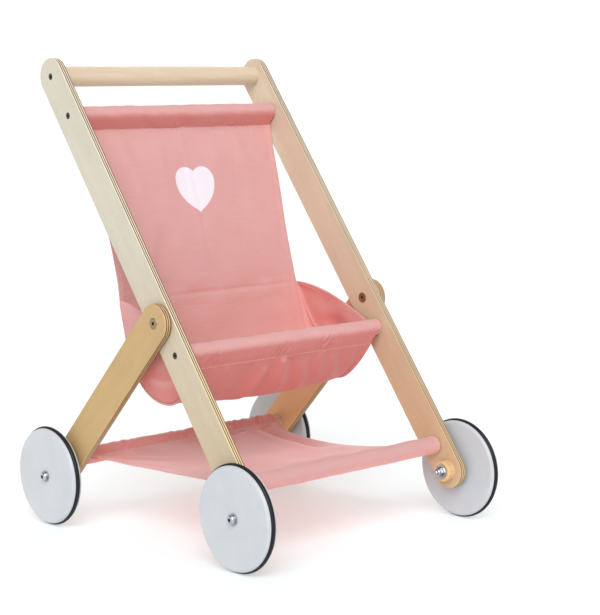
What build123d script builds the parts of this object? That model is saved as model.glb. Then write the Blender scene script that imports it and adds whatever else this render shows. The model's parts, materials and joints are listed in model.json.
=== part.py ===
"""Folding wooden doll stroller: two long side boards, two rear legs, four wheels, a cloth
seat slung between dowels and a cloth basket stretched between the front and rear dowels.

Frame of the part: +Z up, -Y is the front, +X and -X are the right and left sides. The origin
is on the ground, midway between the axles and between the sides. Millimetres and degrees.
"""
from build123d import *
import os
from math import cos, hypot, radians, sin

os.makedirs("parts", exist_ok=True)

SIDES = {"left": -1, "right": 1}

# Stance
WHEEL_RADIUS = 60.0  # over the rubber tyre, so also the height of the axles
WHEELBASE = 337.5
LEAN = 35.25  # side boards, from vertical, towards the rear
WIDTH = 327.0  # over the two side boards

# Plywood bars
BAR_WIDTH = 44.0
BAR_THICKNESS = 9.0
BAR_ROUNDING = 1.2
LEG_GAP = 1.0  # between a side board and the leg outside it

# Distances up a side board from the front axle, and up a leg from the rear axle
BASKET_FRONT_AT = 35.0
SEAT_FRONT_AT = 200.5
PIVOT_AT = 243.5
BACKREST_AT = 528.5
HANDLE_AT = 585.5
BASKET_REAR_AT = 30.0

# Dowels and the cloth sleeves sewn around them
HANDLE_RADIUS = 12.0
DOWEL_RADIUS = 9.0
SLEEVE_INNER = 9.3
SLEEVE_OUTER = 10.6
SLEEVE_HALF_LENGTH = 151.0
CLOTH = 1.6
SEAT_HALF_WIDTH = 141.0
BASKET_END_HALF_WIDTH = 149.0
BASKET_WAIST_HALF_WIDTH = 132.0
BASKET_SAG = 9.0

# Wheels
DISC_RADIUS = 57.8
DISC_THICKNESS = 13.0
DISC_ROUNDING = 3.2
TYRE_SECTION = 3.0
GROOVE_CLEARANCE = 0.05
WHEEL_GAP = 6.0  # from the bar's outer face to the wheel's inner face
AXIAL_PLAY = 0.3

# Axle bolt and what it clamps
FIT = 0.05  # radial clearance of every shank in its hole
AXLE_SHANK = 3.0
AXLE_HEAD_RADIUS = 5.6
AXLE_HEAD_HEIGHT = 3.8
AXLE_HEAD_RIM = 0.8  # straight height under the dome
TIP_CHAMFER = 0.6
AXLE_SOCKET = 2.0
OUTER_WASHER_RADIUS = 7.0
OUTER_WASHER_HEIGHT = 1.2
SPACER_RADIUS = 6.0
BOSS_RADIUS = 12.5
BOSS_HEIGHT = 11.0
BOSS_ROUNDING = 1.5
INNER_WASHER_RADIUS = 8.75
INNER_WASHER_HEIGHT = 1.5
NUT_HALF_FLATS = 5.0
NUT_HEX_HEIGHT = 4.8
NUT_COLLAR_RADIUS = 4.5
NUT_COLLAR_HEIGHT = 1.7
NUT_COLLAR_CHAMFER = 0.7
AXLE_TIP = 3.0

# Flush socket screws into threaded inserts in the dowels' ends
SCREW_HEAD_RADIUS = 4.0
SCREW_HEAD_HEIGHT = 3.6
SCREW_SHANK = 2.5
SCREW_SINK = 0.3
SCREW_REACH = 16.0  # past the bar's inner face, into the dowel
SCREW_SOCKET = 1.5
INSERT_RADIUS = 4.4
INSERT_LENGTH = 15.0
INSERT_HOLE_DEPTH = 18.0

# Pivot: a sleeve nut through the board carries the leg, and a bolt closes it
PIVOT_BARREL = 4.0
PIVOT_HEAD_RADIUS = 6.5
PIVOT_FLANGE_HEIGHT = 1.5
PIVOT_HEAD_HEIGHT = 2.2
PIVOT_PROUD = 0.3
PIVOT_HEAD_ROUNDING = 0.8
PIVOT_SOCKET = 2.0
PIVOT_SOCKET_FLOOR = 0.5  # metal left under the socket
PIVOT_WASHER_RADIUS = 9.0

SOCKET_DEPTH = 2.2

# Derived stations across the width, all measured outwards from the middle
BOARD_INNER = WIDTH / 2 - BAR_THICKNESS
BOARD_OUTER = WIDTH / 2
LEG_INNER = BOARD_OUTER + LEG_GAP
LEG_OUTER = LEG_INNER + BAR_THICKNESS

FRONT_AXLE = (-WHEELBASE / 2, WHEEL_RADIUS)
REAR_AXLE = (WHEELBASE / 2, WHEEL_RADIUS)
UP_BOARD = (sin(radians(LEAN)), cos(radians(LEAN)))


def along(start, direction, distance):
    """The (y, z) point at this distance from start."""
    return (start[0] + direction[0] * distance, start[1] + direction[1] * distance)


PIVOT = along(FRONT_AXLE, UP_BOARD, PIVOT_AT)
LEG_LENGTH = hypot(PIVOT[0] - REAR_AXLE[0], PIVOT[1] - REAR_AXLE[1])
UP_LEG = ((PIVOT[0] - REAR_AXLE[0]) / LEG_LENGTH, (PIVOT[1] - REAR_AXLE[1]) / LEG_LENGTH)
BASKET_FRONT = along(FRONT_AXLE, UP_BOARD, BASKET_FRONT_AT)
SEAT_FRONT = along(FRONT_AXLE, UP_BOARD, SEAT_FRONT_AT)
BACKREST = along(FRONT_AXLE, UP_BOARD, BACKREST_AT)
HANDLE = along(FRONT_AXLE, UP_BOARD, HANDLE_AT)
BASKET_REAR = along(REAR_AXLE, UP_LEG, BASKET_REAR_AT)

# Side profile of the seat cloth, from the backrest dowel down to the seat front dowel.
# Each corner is given from the pivot as (back, up), with its bend radius.
SEAT_CORNERS = [
    ((139.0, 141.0), 90.0),
    ((116.0, 76.0), 90.0),
    ((105.5, 17.0), 90.0),
    ((97.0, -28.0), 50.0),
    ((68.0, -84.0), 38.0),
    ((34.0, -103.5), 30.0),
    ((-6.0, -87.0), 30.0),
    ((-30.0, -54.0), 20.0),
]
CREASE = 2  # the corner where the side gussets end on the back


def outward(side, x, yz):
    """A plane at x from the middle, facing away from the middle, centred on (y, z)."""
    return Plane(origin=(side * x, yz[0], yz[1]), x_dir=(0, 1, 0), z_dir=(side, 0, 0))


def finish_piece(part, label):
    """Names a piece and writes it."""
    part.label = label
    export_step(part, f"parts/{label}.step")


def flat_bar(plane, length, plain_holes, stepped_holes):
    """A plywood bar with full-round ends about the points 0 and length along the plane's X.

    plain_holes lists (distance, radius); stepped_holes lists (distance, radius, depth) cut
    from the outer face.
    """
    with BuildPart() as bar:
        with BuildSketch(plane):
            with Locations((length / 2, 0)):
                SlotCenterToCenter(length, BAR_WIDTH)
        extrude(amount=BAR_THICKNESS)
        fillet(bar.faces().filter_by(Axis.X).edges(), radius=BAR_ROUNDING)
        for distance, radius in plain_holes:
            with BuildSketch(plane):
                with Locations((distance, 0)):
                    Circle(radius)
            extrude(amount=BAR_THICKNESS, mode=Mode.SUBTRACT)
        for distance, radius, depth in stepped_holes:
            with BuildSketch(plane.offset(BAR_THICKNESS)):
                with Locations((distance, 0)):
                    Circle(radius)
            extrude(amount=-depth, mode=Mode.SUBTRACT)
    return bar.part


def side_board(side):
    """A long side board, from the front axle to the handle."""
    plane = Plane(
        origin=(side * BOARD_INNER, *FRONT_AXLE), x_dir=(0, *UP_BOARD), z_dir=(side, 0, 0)
    )
    dowel_ends = (BASKET_FRONT_AT, SEAT_FRONT_AT, BACKREST_AT, HANDLE_AT)
    plain = [(0, AXLE_SHANK + FIT), (PIVOT_AT, PIVOT_BARREL + FIT)]
    plain += [(distance, SCREW_SHANK + FIT) for distance in dowel_ends]
    head_depth = SCREW_HEAD_HEIGHT + SCREW_SINK
    stepped = [(distance, SCREW_HEAD_RADIUS + FIT, head_depth) for distance in dowel_ends]
    board = flat_bar(plane, HANDLE_AT, plain, stepped)
    with BuildPart() as finished:
        add(board)
        with BuildSketch(outward(side, BOARD_INNER, PIVOT)):
            Circle(PIVOT_HEAD_RADIUS + FIT)
        extrude(amount=PIVOT_FLANGE_HEIGHT, mode=Mode.SUBTRACT)
    return finished.part


def rear_leg(side):
    """A rear leg, from the rear axle up to the pivot, outside its side board."""
    plane = Plane(
        origin=(side * LEG_INNER, *REAR_AXLE), x_dir=(0, *UP_LEG), z_dir=(side, 0, 0)
    )
    plain = [(0, AXLE_SHANK + FIT), (BASKET_REAR_AT, SCREW_SHANK + FIT)]
    plain += [(LEG_LENGTH, PIVOT_BARREL + FIT)]
    head_seat = PIVOT_HEAD_HEIGHT - PIVOT_PROUD + AXIAL_PLAY
    stepped = [
        (BASKET_REAR_AT, SCREW_HEAD_RADIUS + FIT, SCREW_HEAD_HEIGHT + SCREW_SINK),
        (LEG_LENGTH, PIVOT_HEAD_RADIUS + 2 * FIT, head_seat),
    ]
    return flat_bar(plane, LEG_LENGTH, plain, stepped)


def dowel(centre, radius, half_length):
    """A round cross bar, bored at both ends for its threaded inserts."""
    with BuildPart() as bar:
        with BuildSketch(Plane.YZ):
            with Locations(centre):
                Circle(radius)
        extrude(amount=half_length, both=True)
        for side in SIDES.values():
            with BuildSketch(outward(side, half_length, centre)):
                Circle(INSERT_RADIUS + FIT)
            extrude(amount=-INSERT_HOLE_DEPTH, mode=Mode.SUBTRACT)
    return bar.part


def threaded_inserts(centres, half_length):
    """Brass inserts in both ends of each dowel, flush with its end faces."""
    with BuildPart() as inserts:
        for centre in centres:
            for side in SIDES.values():
                with BuildSketch(outward(side, half_length, centre)):
                    Circle(INSERT_RADIUS)
                    Circle(SCREW_SHANK + FIT, mode=Mode.SUBTRACT)
                extrude(amount=-INSERT_LENGTH)
    return inserts.part


def dowel_screws(centre, inner_face):
    """The two flush hex-socket screws that hold one dowel between its bars."""
    head_top = inner_face + BAR_THICKNESS - SCREW_SINK
    with BuildPart() as screws:
        for side in SIDES.values():
            top = outward(side, head_top, centre)
            with BuildSketch(top):
                Circle(SCREW_HEAD_RADIUS)
            extrude(amount=-SCREW_HEAD_HEIGHT)
            with BuildSketch(outward(side, head_top - SCREW_HEAD_HEIGHT, centre)):
                Circle(SCREW_SHANK)
            shank_length = head_top - SCREW_HEAD_HEIGHT - inner_face + SCREW_REACH
            extrude(amount=-shank_length)
            with BuildSketch(top):
                RegularPolygon(SCREW_SOCKET, 6, major_radius=False)
            extrude(amount=-SOCKET_DEPTH, mode=Mode.SUBTRACT)
    return screws.part


def washer(side, x, centre, outer, inner, height):
    """A plain ring lying on the station x."""
    with BuildPart() as ring:
        with BuildSketch(outward(side, x, centre)):
            Circle(outer)
            Circle(inner, mode=Mode.SUBTRACT)
        extrude(amount=height)
    return ring.part


def axle_bolt(side, centre, head_base, tip):
    """A domed hex-socket bolt, with its head's underside at head_base."""
    with BuildPart() as bolt:
        with BuildSketch(outward(side, head_base, centre)):
            Circle(AXLE_HEAD_RADIUS)
        extrude(amount=AXLE_HEAD_HEIGHT)
        crown = bolt.faces().sort_by(Axis.X)[-1 if side > 0 else 0]
        fillet(crown.edges(), radius=AXLE_HEAD_HEIGHT - AXLE_HEAD_RIM)
        with BuildSketch(outward(side, head_base, centre)):
            Circle(AXLE_SHANK)
        extrude(amount=-(head_base - tip))
        point = bolt.faces().sort_by(Axis.X)[0 if side > 0 else -1]
        chamfer(point.edges(), length=TIP_CHAMFER)
        with BuildSketch(outward(side, head_base + AXLE_HEAD_HEIGHT, centre)):
            RegularPolygon(AXLE_SOCKET, 6, major_radius=False)
        extrude(amount=-SOCKET_DEPTH, mode=Mode.SUBTRACT)
    return bolt.part


def lock_nut(side, x, centre):
    """A hex nut with a round locking collar, on the inner side of the station x."""
    with BuildPart() as nut:
        with BuildSketch(outward(side, x, centre)):
            RegularPolygon(NUT_HALF_FLATS, 6, major_radius=False)
        extrude(amount=-NUT_HEX_HEIGHT)
        with BuildSketch(outward(side, x - NUT_HEX_HEIGHT, centre)):
            Circle(NUT_COLLAR_RADIUS)
        extrude(amount=-NUT_COLLAR_HEIGHT)
        collar = nut.faces().sort_by(Axis.X)[0 if side > 0 else -1]
        chamfer(collar.edges(), length=NUT_COLLAR_CHAMFER)
        with BuildSketch(outward(side, x, centre)):
            Circle(AXLE_SHANK + FIT)
        extrude(amount=-(NUT_HEX_HEIGHT + NUT_COLLAR_HEIGHT), mode=Mode.SUBTRACT)
    return nut.part


def wooden_boss(side, x, centre):
    """The round wooden boss that stiffens the bar around its axle bolt."""
    with BuildPart() as boss:
        with BuildSketch(outward(side, x, centre)):
            Circle(BOSS_RADIUS)
        extrude(amount=-BOSS_HEIGHT)
        rim = boss.faces().sort_by(Axis.X)[0 if side > 0 else -1]
        fillet(rim.edges(), radius=BOSS_ROUNDING)
        with BuildSketch(outward(side, x, centre)):
            Circle(AXLE_SHANK + FIT)
        extrude(amount=-BOSS_HEIGHT, mode=Mode.SUBTRACT)
    return boss.part


def wheel_disc(side, x, centre):
    """A painted wooden disc with rounded rims, a groove for its tyre and an axle hole."""
    middle = outward(side, x + DISC_THICKNESS / 2, centre)
    with BuildPart() as disc:
        with BuildSketch(middle):
            Circle(DISC_RADIUS)
        extrude(amount=DISC_THICKNESS / 2, both=True)
        fillet(disc.edges().filter_by(GeomType.CIRCLE), radius=DISC_ROUNDING)
        with BuildSketch(middle):
            Circle(AXLE_SHANK + FIT)
        extrude(amount=DISC_THICKNESS / 2, both=True, mode=Mode.SUBTRACT)
        with Locations(middle):
            groove = TYRE_SECTION + GROOVE_CLEARANCE
            Torus(WHEEL_RADIUS - TYRE_SECTION, groove, mode=Mode.SUBTRACT)
    return disc.part


def tyre_ring(side, x, centre):
    """The round-section rubber ring in the wheel's groove."""
    with BuildPart() as ring:
        with Locations(outward(side, x + DISC_THICKNESS / 2, centre)):
            Torus(WHEEL_RADIUS - TYRE_SECTION, TYRE_SECTION)
    return ring.part


def sleeve(centre):
    """A straight cloth tube around one dowel."""
    with BuildPart() as tube:
        with BuildSketch(Plane.YZ):
            with Locations(centre):
                Circle(SLEEVE_OUTER)
                Circle(SLEEVE_INNER, mode=Mode.SUBTRACT)
        extrude(amount=SLEEVE_HALF_LENGTH, both=True)
    return tube.part


def from_dowel(centre, towards):
    """The point in the wall of a dowel's sleeve where the cloth leaves towards a point."""
    reach = hypot(towards[0] - centre[0], towards[1] - centre[1])
    wall = (SLEEVE_INNER + SLEEVE_OUTER) / 2
    return (
        centre[0] + (towards[0] - centre[0]) * wall / reach,
        centre[1] + (towards[1] - centre[1]) * wall / reach,
    )


# Wooden frame
for name, side in SIDES.items():
    finish_piece(side_board(side), f"{name}_side_board")
    finish_piece(rear_leg(side), f"{name}_rear_leg")

finish_piece(dowel(HANDLE, HANDLE_RADIUS, BOARD_INNER), "handle_dowel")
finish_piece(dowel(BACKREST, DOWEL_RADIUS, BOARD_INNER), "backrest_dowel")
finish_piece(dowel(SEAT_FRONT, DOWEL_RADIUS, BOARD_INNER), "seat_front_dowel")
finish_piece(dowel(BASKET_FRONT, DOWEL_RADIUS, BOARD_INNER), "basket_front_dowel")
finish_piece(dowel(BASKET_REAR, DOWEL_RADIUS, LEG_INNER), "basket_rear_dowel")

finish_piece(dowel_screws(HANDLE, BOARD_INNER), "handle_screws")
finish_piece(dowel_screws(BACKREST, BOARD_INNER), "backrest_screws")
finish_piece(dowel_screws(SEAT_FRONT, BOARD_INNER), "seat_front_screws")
finish_piece(dowel_screws(BASKET_FRONT, BOARD_INNER), "basket_front_screws")
finish_piece(dowel_screws(BASKET_REAR, LEG_INNER), "basket_rear_screws")

frame_dowels = (HANDLE, BACKREST, SEAT_FRONT, BASKET_FRONT)
finish_piece(threaded_inserts(frame_dowels, BOARD_INNER), "frame_threaded_inserts")
finish_piece(threaded_inserts((BASKET_REAR,), LEG_INNER), "rear_threaded_inserts")

# Pivots: the sleeve nut's flange is let into the board's inner face, its barrel carries the
# leg, and the bolt's low head is let into the leg's outer face.
head_base = LEG_OUTER + PIVOT_PROUD - PIVOT_HEAD_HEIGHT
for name, side in SIDES.items():
    with BuildPart() as sleeve_nut:
        with BuildSketch(outward(side, BOARD_INNER, PIVOT)):
            Circle(PIVOT_HEAD_RADIUS)
        extrude(amount=PIVOT_FLANGE_HEIGHT)
        with BuildSketch(outward(side, BOARD_INNER, PIVOT)):
            Circle(PIVOT_BARREL)
        extrude(amount=head_base - BOARD_INNER)
        with BuildSketch(outward(side, head_base, PIVOT)):
            Circle(SCREW_SHANK + FIT)
        extrude(amount=-(head_base - BOARD_INNER - 2 * PIVOT_FLANGE_HEIGHT), mode=Mode.SUBTRACT)
        with BuildSketch(outward(side, BOARD_INNER, PIVOT)):
            RegularPolygon(PIVOT_SOCKET, 6, major_radius=False)
        extrude(amount=PIVOT_FLANGE_HEIGHT, mode=Mode.SUBTRACT)
    finish_piece(sleeve_nut.part, f"{name}_pivot_sleeve_nut")

    with BuildPart() as pivot_bolt:
        with BuildSketch(outward(side, head_base, PIVOT)):
            Circle(PIVOT_HEAD_RADIUS)
        extrude(amount=PIVOT_HEAD_HEIGHT)
        crown = pivot_bolt.faces().sort_by(Axis.X)[-1 if side > 0 else 0]
        fillet(crown.edges(), radius=PIVOT_HEAD_ROUNDING)
        with BuildSketch(outward(side, head_base, PIVOT)):
            Circle(SCREW_SHANK)
        extrude(amount=-(head_base - BOARD_INNER - 3 * PIVOT_FLANGE_HEIGHT))
        with BuildSketch(outward(side, head_base + PIVOT_HEAD_HEIGHT, PIVOT)):
            RegularPolygon(PIVOT_SOCKET, 6, major_radius=False)
        extrude(amount=-(PIVOT_HEAD_HEIGHT - PIVOT_SOCKET_FLOOR), mode=Mode.SUBTRACT)
    finish_piece(pivot_bolt.part, f"{name}_pivot_bolt")

    pivot_washer = washer(
        side, BOARD_OUTER, PIVOT, PIVOT_WASHER_RADIUS, PIVOT_BARREL + FIT, LEG_GAP - AXIAL_PLAY
    )
    finish_piece(pivot_washer, f"{name}_pivot_washer")

# Wheels, each on its own bolt through a side board or a leg
axles = {"front": (FRONT_AXLE, BOARD_INNER), "rear": (REAR_AXLE, LEG_INNER)}
for end, (centre, inner_face) in axles.items():
    outer_face = inner_face + BAR_THICKNESS
    wheel_face = outer_face + WHEEL_GAP
    washer_face = wheel_face + DISC_THICKNESS + AXIAL_PLAY
    bolt_face = washer_face + OUTER_WASHER_HEIGHT
    boss_face = inner_face - BOSS_HEIGHT
    nut_face = boss_face - INNER_WASHER_HEIGHT
    tip = nut_face - NUT_HEX_HEIGHT - NUT_COLLAR_HEIGHT - AXLE_TIP
    hole = AXLE_SHANK + FIT
    for name, side in SIDES.items():
        corner = f"{end}_{name}"
        finish_piece(wheel_disc(side, wheel_face, centre), f"{corner}_wheel_disc")
        finish_piece(tyre_ring(side, wheel_face, centre), f"{corner}_tyre")
        finish_piece(axle_bolt(side, centre, bolt_face, tip), f"{corner}_axle_bolt")
        finish_piece(wooden_boss(side, inner_face, centre), f"{corner}_boss")
    with BuildPart() as spacers:
        for side in SIDES.values():
            add(washer(side, outer_face, centre, SPACER_RADIUS, hole, WHEEL_GAP - AXIAL_PLAY))
    finish_piece(spacers.part, f"{end}_spacers")
    with BuildPart() as outer_washers:
        for side in SIDES.values():
            thickness = OUTER_WASHER_HEIGHT
            add(washer(side, washer_face, centre, OUTER_WASHER_RADIUS, hole, thickness))
    finish_piece(outer_washers.part, f"{end}_outer_washers")
    with BuildPart() as inner_washers:
        for side in SIDES.values():
            thickness = INNER_WASHER_HEIGHT
            add(washer(side, nut_face, centre, INNER_WASHER_RADIUS, hole, thickness))
    finish_piece(inner_washers.part, f"{end}_inner_washers")
    with BuildPart() as lock_nuts:
        for side in SIDES.values():
            add(lock_nut(side, nut_face, centre))
    finish_piece(lock_nuts.part, f"{end}_lock_nuts")

# Seat cloth: one long strip from the backrest dowel, down the back, under the seat and up
# to the seat front dowel, with a sleeve at each end.
corners = [(PIVOT[0] + back, PIVOT[1] + up) for (back, up), _ in SEAT_CORNERS]
bends = [bend for _, bend in SEAT_CORNERS]
strip_start = from_dowel(BACKREST, corners[0])
strip_end = from_dowel(SEAT_FRONT, corners[-1])
with BuildPart() as seat_strip:
    with BuildSketch(Plane.YZ):
        with BuildLine():
            FilletPolyline(strip_start, *corners, strip_end, radius=bends)
            offset(amount=CLOTH, side=Side.LEFT)
        make_face()
        with Locations(BACKREST, SEAT_FRONT):
            Circle(SLEEVE_INNER, mode=Mode.SUBTRACT)
    extrude(amount=SEAT_HALF_WIDTH, both=True)
    with BuildSketch(Plane.YZ):
        with Locations(BACKREST, SEAT_FRONT):
            Circle(SLEEVE_OUTER)
            Circle(SLEEVE_INNER, mode=Mode.SUBTRACT)
    extrude(amount=SLEEVE_HALF_LENGTH, both=True)
finish_piece(seat_strip.part, "seat_strip")

# Side gussets: flat pieces that close the bucket's ends, from the crease in the back down
# around the bottom and up to the seat front dowel.
for name, side in SIDES.items():
    gusset_corners = corners[CREASE:]
    with BuildPart() as gusset:
        with BuildSketch(Plane.YZ.offset(side * SEAT_HALF_WIDTH)):
            with BuildLine():
                bucket = FilletPolyline(*gusset_corners, strip_end, radius=bends[CREASE + 1 :])
                Line(bucket @ 1, SEAT_FRONT)
                Line(SEAT_FRONT, bucket @ 0)
            make_face()
            with Locations(SEAT_FRONT):
                Circle(SLEEVE_OUTER + 2 * FIT, mode=Mode.SUBTRACT)
        extrude(amount=side * CLOTH)
    finish_piece(gusset.part, f"seat_{name}_gusset")

# Basket cloth: a sleeve on each dowel and a panel between them that sags a little and whose
# free side edges curve inwards.
finish_piece(sleeve(BASKET_FRONT), "basket_front_sleeve")
finish_piece(sleeve(BASKET_REAR), "basket_rear_sleeve")
span = hypot(BASKET_REAR[0] - BASKET_FRONT[0], BASKET_REAR[1] - BASKET_FRONT[1])
along_span = ((BASKET_REAR[0] - BASKET_FRONT[0]) / span, (BASKET_REAR[1] - BASKET_FRONT[1]) / span)
side_view = Plane(origin=(0, *BASKET_FRONT), x_dir=(0, *along_span), z_dir=(1, 0, 0))
near = SLEEVE_OUTER + CLOTH
far = span - near
with BuildPart() as basket_panel:
    with BuildSketch(side_view):
        with BuildLine():
            ThreePointArc((near, 0), (span / 2, -BASKET_SAG), (far, 0))
            offset(amount=CLOTH, side=Side.RIGHT)
        make_face()
    extrude(amount=BASKET_END_HALF_WIDTH, both=True)
    with BuildSketch(Plane.XY):
        with BuildLine():
            front_y = BASKET_FRONT[0]
            rear_y = BASKET_REAR[0]
            waist_y = (front_y + rear_y) / 2
            right_front = (BASKET_END_HALF_WIDTH, front_y)
            right_rear = (BASKET_END_HALF_WIDTH, rear_y)
            left_front = (-BASKET_END_HALF_WIDTH, front_y)
            left_rear = (-BASKET_END_HALF_WIDTH, rear_y)
            ThreePointArc(right_front, (BASKET_WAIST_HALF_WIDTH, waist_y), right_rear)
            Line(right_rear, left_rear)
            ThreePointArc(left_rear, (-BASKET_WAIST_HALF_WIDTH, waist_y), left_front)
            Line(left_front, right_front)
        make_face()
    extrude(amount=2 * WHEEL_RADIUS, mode=Mode.INTERSECT)
finish_piece(basket_panel.part, "basket_panel")
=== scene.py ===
"""Looks of the doll stroller: woods, painted wheels, steel, and the sewn cloth seat and basket.

Everything is in metres in the part's own frame: +Z up, -Y the front, the origin on the
ground midway between the axles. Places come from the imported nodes' boxes.
"""
import json
import math
import bmesh
import bpy
import numpy as np
from mathutils import Matrix, Vector


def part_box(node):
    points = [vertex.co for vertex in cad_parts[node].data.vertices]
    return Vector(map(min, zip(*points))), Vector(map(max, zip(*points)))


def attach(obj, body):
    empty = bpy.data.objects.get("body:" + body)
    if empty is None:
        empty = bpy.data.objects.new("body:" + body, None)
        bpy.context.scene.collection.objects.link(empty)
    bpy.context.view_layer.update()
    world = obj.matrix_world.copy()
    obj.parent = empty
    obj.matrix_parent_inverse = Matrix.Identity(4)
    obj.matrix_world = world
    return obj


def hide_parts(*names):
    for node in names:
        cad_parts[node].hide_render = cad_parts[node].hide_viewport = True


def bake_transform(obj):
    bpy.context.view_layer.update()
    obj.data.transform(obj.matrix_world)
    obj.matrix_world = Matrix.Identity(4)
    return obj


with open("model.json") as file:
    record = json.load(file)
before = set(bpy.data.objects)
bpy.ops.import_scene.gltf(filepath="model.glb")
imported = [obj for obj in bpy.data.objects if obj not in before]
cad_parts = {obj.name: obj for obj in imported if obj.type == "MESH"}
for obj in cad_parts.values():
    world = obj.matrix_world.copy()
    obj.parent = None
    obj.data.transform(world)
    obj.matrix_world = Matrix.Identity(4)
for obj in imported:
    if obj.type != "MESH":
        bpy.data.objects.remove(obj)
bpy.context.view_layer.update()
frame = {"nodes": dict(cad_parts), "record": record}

MM = 0.001
SIDES = {"left": -1, "right": 1}

# ---------------------------------------------------------------- places from the frame


def centre_of(node):
    """The middle of a node's box, as (y, z)."""
    low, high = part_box(node)
    middle = (low + high) / 2
    return np.array([middle.y, middle.z])


def mid_radius(node):
    """Half the height of a round bar that lies along X."""
    low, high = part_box(node)
    return (high.z - low.z) / 2


HANDLE = centre_of("handle_dowel")
BACKREST = centre_of("backrest_dowel")
SEAT_FRONT = centre_of("seat_front_dowel")
BASKET_FRONT = centre_of("basket_front_dowel")
BASKET_REAR = centre_of("basket_rear_dowel")
FRONT_AXLE = centre_of("front_left_tyre")
REAR_AXLE = centre_of("rear_left_tyre")
PIVOT = centre_of("left_pivot_bolt")
BOARD_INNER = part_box("right_side_board")[0].x
LEG_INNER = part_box("right_rear_leg")[0].x
DOWEL_RADIUS = mid_radius("backrest_dowel")
CLOTH_HALF_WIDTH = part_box("seat_strip")[1].x
LEAN = math.atan2(HANDLE[0] - FRONT_AXLE[0], HANDLE[1] - FRONT_AXLE[1])
LEG_LEAN = math.atan2(REAR_AXLE[0] - PIVOT[0], PIVOT[1] - REAR_AXLE[1])

# ---------------------------------------------------------------- camera, floor and light

CAMERA_PLACE = (-1.3384, -1.5490, 0.4934)
CAMERA_YAW = math.radians(42.38)  # to the right of straight back along +Y
CAMERA_PITCH = math.radians(-6.57)
CAMERA_ROLL = math.radians(-1.24)
CAMERA_LENS = 100.73  # millimetres, on a sensor of the width below
SENSOR_WIDTH = 36

# Suns: the way to each, its spread in degrees, strength and colour.
KEY_SUN = ((-0.55, -0.56, 0.62), 44, 2.40, (0.93, 1.0, 1.05))
BACK_SUN = ((0.72, 0.60, 0.34), 50, 0.9, (1, 1, 1))
SURROUND_COLOUR = (1.0, 0.89, 0.865, 1)
SURROUND_GLOW = 0.46
HORIZON_GLOW = 0.66
OVERHEAD_GLOW = 0.15
FLOOR_REACH = 60.0
FLOOR_COLOUR = (0.62, 0.675, 0.672, 1)
FLOOR_GLOW = 0.34  # a light-table floor, so shadows stay faint
WHITE = (1, 1, 1, 1)


def make_camera():
    """The camera at the photograph's viewing angle."""
    ahead = Vector((math.sin(CAMERA_YAW), math.cos(CAMERA_YAW), 0))
    forward = ahead * math.cos(CAMERA_PITCH) + Vector((0, 0, math.sin(CAMERA_PITCH)))
    level = Vector((ahead.y, -ahead.x, 0))
    upright = level.cross(forward)
    right = level * math.cos(CAMERA_ROLL) + upright * math.sin(CAMERA_ROLL)
    up = upright * math.cos(CAMERA_ROLL) - level * math.sin(CAMERA_ROLL)
    data = bpy.data.cameras.new("camera")
    data.lens = CAMERA_LENS
    data.sensor_width = SENSOR_WIDTH
    camera = bpy.data.objects.new("camera", data)
    turn = Matrix((right, up, -forward)).transposed().to_4x4()
    camera.matrix_world = Matrix.Translation(CAMERA_PLACE) @ turn
    bpy.context.scene.collection.objects.link(camera)
    bpy.context.scene.camera = camera


def add_sun(name, towards, spread, strength, colour):
    """Even light from one direction, as soft as its spread."""
    data = bpy.data.lights.new(name, "SUN")
    data.angle = math.radians(spread)
    data.energy = strength
    data.color = colour
    light = bpy.data.objects.new(name, data)
    light.rotation_mode = "QUATERNION"
    light.rotation_quaternion = Vector(towards).to_track_quat("Z", "Y")
    bpy.context.scene.collection.objects.link(light)


def make_world():
    """A warm, even surround, with white air all round near the horizon and a little overhead."""
    world = bpy.data.worlds.new("studio")
    tree = Nodes(world)
    height = tree.split(tree.node("TexCoord").outputs["Generated"])[2]
    around = tree.times(tree.band(height, 0.45, 0.18), HORIZON_GLOW)
    overhead = tree.times(tree.band(height, 0.35, 0.95), OVERHEAD_GLOW)
    warm = tree.nodes["Background"]
    tree.put(warm.inputs["Color"], SURROUND_COLOUR)
    tree.put(warm.inputs["Strength"], SURROUND_GLOW)
    white = tree.node("Background", Color=WHITE, Strength=tree.plus(around, overhead))
    both = tree.node("AddShader")
    tree.put(both.inputs[0], warm.outputs[0])
    tree.put(both.inputs[1], white.outputs[0])
    tree.put(tree.nodes["World Output"].inputs["Surface"], both.outputs[0])
    bpy.context.scene.world = world


def make_stage():
    """A pale floor, a pale surround and soft light, shown without a film curve."""
    bpy.context.scene.view_settings.view_transform = "Standard"
    make_world()
    signs = ((-1, -1), (1, -1), (1, 1), (-1, 1))
    corners = [(FLOOR_REACH * x, FLOOR_REACH * y, 0) for x, y in signs]
    floor = new_mesh("floor", corners, [(0, 1, 2, 3)], smooth=False)
    tree = Finish("floor", 0.8)
    tree.set(Base_Color=FLOOR_COLOUR)
    tree.set(Emission_Color=WHITE, Emission_Strength=FLOOR_GLOW, Specular_IOR_Level=0.1)
    floor.data.materials.append(tree.material)
    add_sun("key", *KEY_SUN)
    add_sun("back", *BACK_SUN)


# ---------------------------------------------------------------- small mesh helpers


def new_mesh(name, points, faces, smooth=True):
    """A mesh object from plain lists."""
    mesh = bpy.data.meshes.new(name)
    mesh.from_pydata([tuple(p) for p in points], [], [tuple(f) for f in faces])
    mesh.update()
    if smooth:
        mesh.polygons.foreach_set("use_smooth", [True] * len(mesh.polygons))
    thing = bpy.data.objects.new(name, mesh)
    bpy.context.scene.collection.objects.link(thing)
    return thing


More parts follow.
